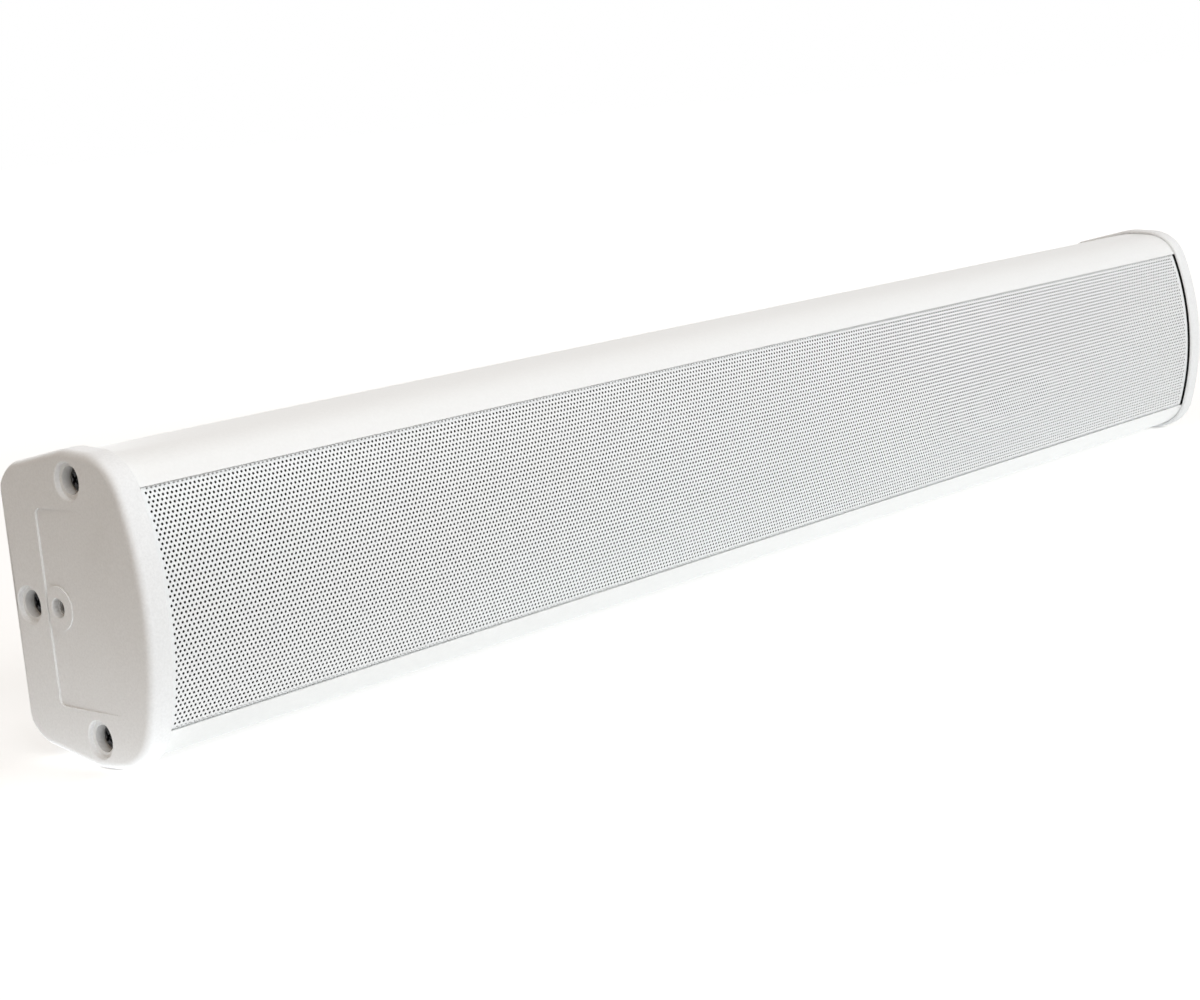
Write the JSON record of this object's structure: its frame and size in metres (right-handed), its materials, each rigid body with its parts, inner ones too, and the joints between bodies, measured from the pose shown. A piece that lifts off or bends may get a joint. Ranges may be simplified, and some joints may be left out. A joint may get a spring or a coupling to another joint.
{
  "type": "column loudspeaker",
  "caption": "Column loudspeaker: extruded D-shaped enclosure with a curved perforated grille, moulded end caps with bracket bosses, and small drivers in a row on an inner baffle.",
  "frame": {"origin": "centre of the enclosure's flat back", "axes": "+X along the enclosure's length, towards the end cap with the cable entry; +Y out of the flat back, so the grille faces -Y; +Z across the width"},
  "size_m": [0.7814, 0.0816, 0.1196],
  "materials": {
    "coated_aluminium": "satin",
    "coated_steel": "satin",
    "cap_plastic": "matte",
    "screw_steel": "satin",
    "plain_steel": "satin",
    "black_steel": "satin",
    "brass": "satin",
    "gasket_rubber": "matte",
    "surround_rubber": "matte",
    "acoustic_cloth": "matte",
    "ferrite": "matte",
    "lamination_steel": "satin",
    "copper_wire": "gloss",
    "terminal_ceramic": "satin",
    "wire_jacket": "satin",
    "cone_paper": "matte",
    "spider_cloth": "matte"
  },
  "bodies": {
    "enclosure": {"enclosure_profile": "coated_aluminium", "grille": "coated_steel", "grille_cloth": "acoustic_cloth", "baffle": "black_steel", "left_end_cap": "cap_plastic", "right_end_cap": "cap_plastic", "left_gasket": "gasket_rubber", "right_gasket": "gasket_rubber", "left_cap_screws": "screw_steel", "right_cap_screws": "screw_steel", "left_bracket_screw": "screw_steel", "right_bracket_screw": "screw_steel", "left_insert": "brass", "right_insert": "brass", "cable_grommet": "gasket_rubber", "driver_baskets": "black_steel", "driver_top_plates": "plain_steel", "driver_magnets": "ferrite", "driver_yokes": "plain_steel", "driver_tags": "brass", "driver_screws": "screw_steel", "transformer_core": "lamination_steel", "transformer_winding": "copper_wire", "transformer_strap": "plain_steel", "transformer_screws": "screw_steel", "terminal_block": "terminal_ceramic", "terminal_clamps": "brass", "terminal_screw": "screw_steel", "wiring_loom": "wire_jacket"},
    "driver_1_moving": {"cone_1": "cone_paper", "surround_1": "surround_rubber", "dust_cap_1": "cone_paper", "voice_coil_1": "copper_wire", "spider_1": "spider_cloth"},
    "driver_2_moving": {"cone_2": "cone_paper", "surround_2": "surround_rubber", "dust_cap_2": "cone_paper", "voice_coil_2": "copper_wire", "spider_2": "spider_cloth"},
    "driver_3_moving": {"cone_3": "cone_paper", "surround_3": "surround_rubber", "dust_cap_3": "cone_paper", "voice_coil_3": "copper_wire", "spider_3": "spider_cloth"},
    "driver_4_moving": {"cone_4": "cone_paper", "surround_4": "surround_rubber", "dust_cap_4": "cone_paper", "voice_coil_4": "copper_wire", "spider_4": "spider_cloth"},
    "driver_5_moving": {"cone_5": "cone_paper", "surround_5": "surround_rubber", "dust_cap_5": "cone_paper", "voice_coil_5": "copper_wire", "spider_5": "spider_cloth"},
    "driver_6_moving": {"cone_6": "cone_paper", "surround_6": "surround_rubber", "dust_cap_6": "cone_paper", "voice_coil_6": "copper_wire", "spider_6": "spider_cloth"}
  },
  "joints": [
    {"name": "driver_1_excursion", "type": "slide", "parent": "enclosure", "child": "driver_1_moving", "axis": [0, -1, 0], "range_m": [-0.002, 0.002], "stiffness_N_per_m": 1500},
    {"name": "driver_2_excursion", "type": "slide", "parent": "enclosure", "child": "driver_2_moving", "axis": [0, -1, 0], "range_m": [-0.002, 0.002], "stiffness_N_per_m": 1500},
    {"name": "driver_3_excursion", "type": "slide", "parent": "enclosure", "child": "driver_3_moving", "axis": [0, -1, 0], "range_m": [-0.002, 0.002], "stiffness_N_per_m": 1500},
    {"name": "driver_4_excursion", "type": "slide", "parent": "enclosure", "child": "driver_4_moving", "axis": [0, -1, 0], "range_m": [-0.002, 0.002], "stiffness_N_per_m": 1500},
    {"name": "driver_5_excursion", "type": "slide", "parent": "enclosure", "child": "driver_5_moving", "axis": [0, -1, 0], "range_m": [-0.002, 0.002], "stiffness_N_per_m": 1500},
    {"name": "driver_6_excursion", "type": "slide", "parent": "enclosure", "child": "driver_6_moving", "axis": [0, -1, 0], "range_m": [-0.002, 0.002], "stiffness_N_per_m": 1500}
  ]
}
